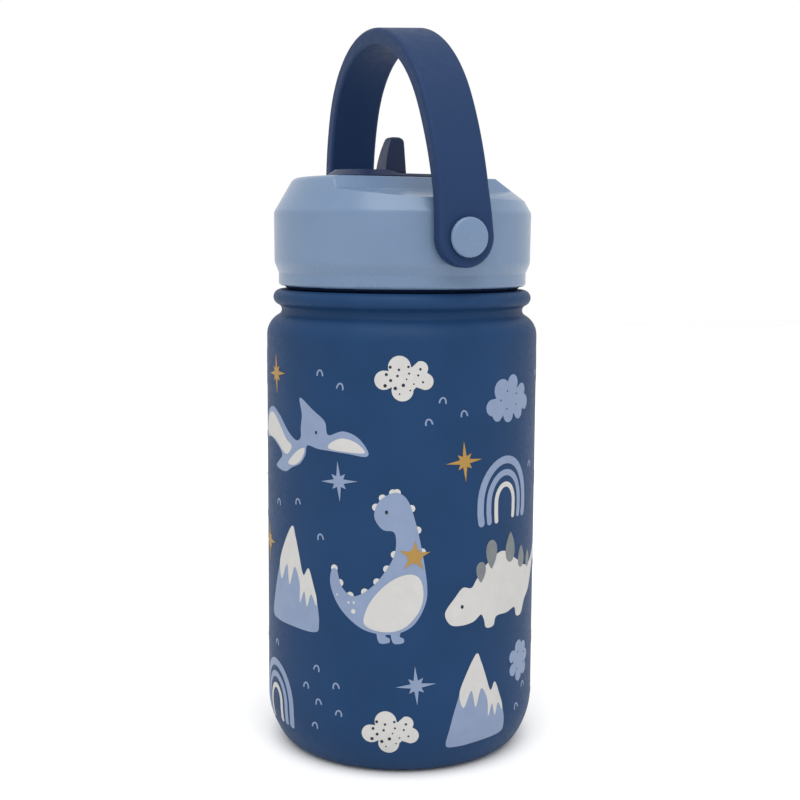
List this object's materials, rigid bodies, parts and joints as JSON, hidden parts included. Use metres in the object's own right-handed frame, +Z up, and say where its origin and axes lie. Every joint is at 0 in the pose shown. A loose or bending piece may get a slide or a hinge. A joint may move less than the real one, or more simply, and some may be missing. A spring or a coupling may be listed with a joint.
{
  "type": "kids water bottle",
  "caption": "Insulated steel kids' bottle with a screw lid, a fold-down straw spout and a swinging carry strap.",
  "frame": {"origin": "centre of the base, on the plane that the bottle stands on", "axes": "+Z up along the bottle, +X through the strap's two pivots, -Y the front, where the folded spout points"},
  "size_m": [0.0826, 0.073, 0.1927],
  "materials": {
    "body_paint": "satin powder coat, navy, printed pattern",
    "bare_steel": "brushed stainless steel",
    "lid_plastic": "moulded, semi-gloss light blue",
    "dark_plastic": "moulded, satin dark navy",
    "strap_silicone": "matte navy silicone",
    "soft_silicone": "translucent food silicone",
    "straw_plastic": "translucent polypropylene",
    "glass_seal": "fused glass bead",
    "getter_metal": "sintered metal pellet"
  },
  "bodies": {
    "bottle": {"outer_wall": "body_paint", "outer_neck": "body_paint", "outer_base": "body_paint", "inner_wall": "bare_steel", "inner_neck": "bare_steel", "inner_base": "bare_steel", "getter": "getter_metal", "vacuum_seal": "glass_seal", "base_cap": "bare_steel"},
    "seal_ring": {"lid_gasket": "soft_silicone"},
    "lid": {"lid_shell": "lid_plastic", "lid_liner": "dark_plastic", "vent_valve": "soft_silicone", "straw_socket": "soft_silicone", "straw": "straw_plastic", "spout_seal": "soft_silicone", "spout_cradle": "dark_plastic", "strap_stud_right": "lid_plastic", "strap_stud_left": "lid_plastic"},
    "flip_spout": {"spout": "dark_plastic", "mouthpiece": "soft_silicone"},
    "carry_strap": {"strap": "strap_silicone"}
  },
  "joints": [
    {"name": "lid_lift", "type": "slide", "parent": "bottle", "child": "seal_ring", "axis": [0, 0, 1], "range_m": [0, 0.00401]},
    {"name": "lid_turn", "type": "hinge", "parent": "seal_ring", "child": "lid", "pos_m": [0, 0, 0.1378], "axis": [0, 0, 1], "range_deg": [0, 360]},
    {"name": "spout_flip", "type": "hinge", "parent": "lid", "child": "flip_spout", "pos_m": [0, 0, 0.1475], "axis": [-1, 0, 0], "range_deg": [0, 90]},
    {"name": "strap_swing", "type": "hinge", "parent": "lid", "child": "carry_strap", "pos_m": [0, 0, 0.1378], "axis": [1, 0, 0], "range_deg": [-120, 113]}
  ],
  "couplings": [
    {"joint": "lid_lift", "follows": "lid_turn", "m_per_rad": 0.00063662}
  ]
}
